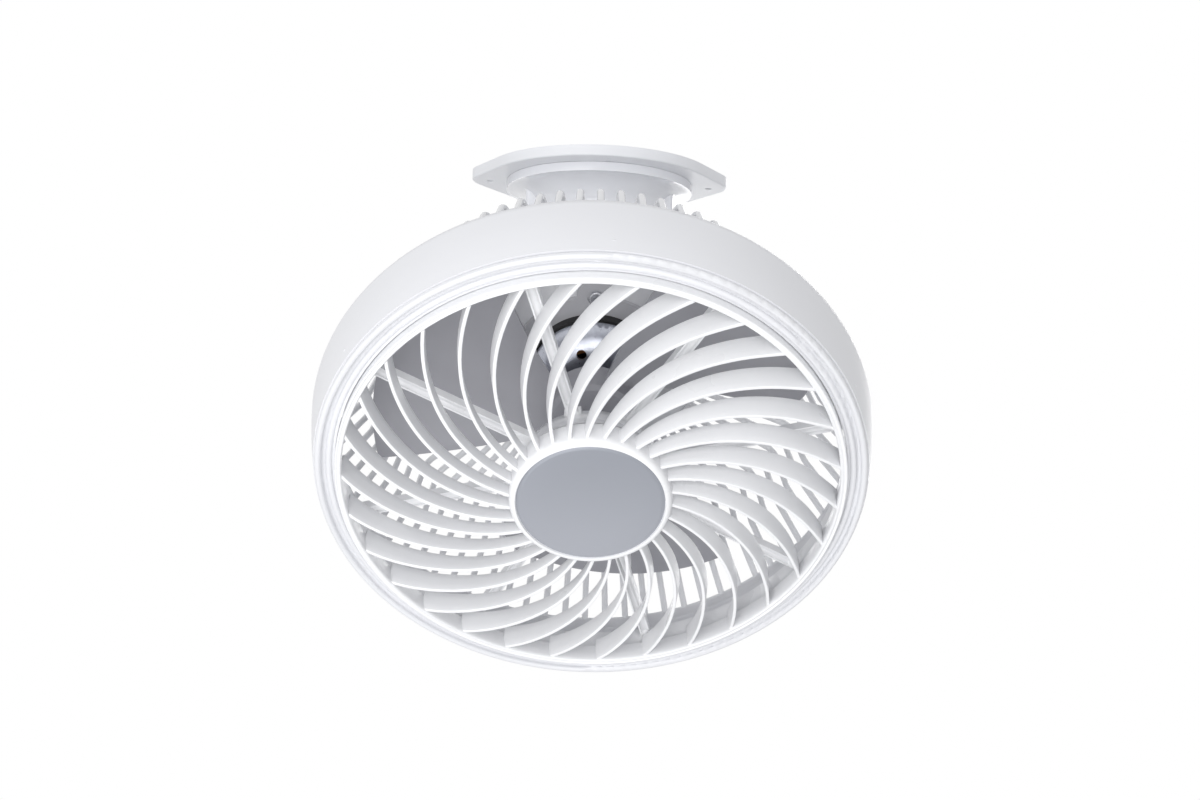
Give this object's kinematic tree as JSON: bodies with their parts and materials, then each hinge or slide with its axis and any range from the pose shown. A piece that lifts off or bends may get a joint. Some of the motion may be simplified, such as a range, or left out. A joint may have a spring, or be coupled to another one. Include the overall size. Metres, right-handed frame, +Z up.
{
  "type": "cabin fan",
  "caption": "Drum shaped cabin fan with a turning swirl grille in front, a ribbed guard behind and a tilting neck on a screw-on base plate, hung from a ceiling or wall.",
  "frame": {"origin": "middle of the base plate's mounting face, between its two screw holes", "axes": "+Z up out of the mounting face into the ceiling, the fan blows down and towards -Y, X along the tilt axis and the line of the two screw holes"},
  "size_m": [0.3739, 0.3657, 0.3783],
  "materials": {
    "white_plastic": "moulded, semi-gloss",
    "white_guard": "moulded, semi-gloss",
    "grey_blade": "moulded, satin",
    "grey_plate": "moulded, satin",
    "silver_badge": "fine metallic satin",
    "motor_silver": "metallic satin",
    "black_rubber": "matt",
    "core_steel": "dark varnished laminations",
    "winding_copper": "varnished wire",
    "bush_bronze": "sintered",
    "zinc_steel": "zinc plated",
    "shaft_steel": "ground",
    "part_black": "moulded",
    "part_cream": "moulded"
  },
  "bodies": {
    "base": {"ceiling_plate": "white_plastic"},
    "neck": {"swivel_neck": "white_plastic", "neck_ring": "zinc_steel", "neck_ring_screws": "zinc_steel", "terminal_block": "part_cream", "terminal_screws": "zinc_steel", "capacitor": "part_black", "capacitor_clip": "zinc_steel", "capacitor_screw": "zinc_steel", "neck_grommet": "black_rubber", "tilt_bolt": "zinc_steel", "tilt_nut": "zinc_steel", "tilt_washers": "zinc_steel"},
    "head": {"drum_shell": "white_plastic", "front_bezel": "white_plastic", "bezel_screws": "zinc_steel", "grille_carrier": "white_plastic", "carrier_screws": "zinc_steel", "grille_motor": "zinc_steel", "grille_motor_screws": "zinc_steel", "rear_guard": "white_guard", "guard_screws": "zinc_steel", "motor_plate": "grey_plate", "cover_screws": "zinc_steel", "motor_front_shell": "motor_silver", "motor_rear_shell": "motor_silver", "stator_core": "core_steel", "stator_windings": "winding_copper", "motor_ring": "black_rubber", "front_bush": "bush_bronze", "rear_bush": "bush_bronze", "motor_bolts": "zinc_steel", "motor_screws": "zinc_steel", "motor_cover": "white_plastic", "cover_grommet": "black_rubber"},
    "rotor": {"fan_blades": "grey_blade", "motor_shaft": "shaft_steel", "drive_pin": "shaft_steel", "blade_nut": "zinc_steel", "rotor_core": "core_steel", "shaft_washers": "shaft_steel"},
    "grille": {"swirl_grille": "white_plastic", "badge_disc": "silver_badge", "grille_shaft": "shaft_steel", "grille_screw": "zinc_steel"}
  },
  "joints": [
    {"name": "neck_swivel", "type": "hinge", "parent": "base", "child": "neck", "pos_m": [0, 0, -0.008], "axis": [0, 0, 1], "range_deg": [-175, 175]},
    {"name": "head_tilt", "type": "hinge", "parent": "neck", "child": "head", "pos_m": [0, 0, -0.103], "axis": [1, 0, 0], "range_deg": [-12, 107.4]},
    {"name": "blade_spin", "type": "hinge", "parent": "head", "child": "rotor", "pos_m": [0, -0.09837, -0.19251], "axis": [0, 0.7396, 0.673], "continuous": true},
    {"name": "grille_spin", "type": "hinge", "parent": "head", "child": "grille", "pos_m": [0, -0.15976, -0.24837], "axis": [0, 0.7396, 0.673], "continuous": true}
  ]
}
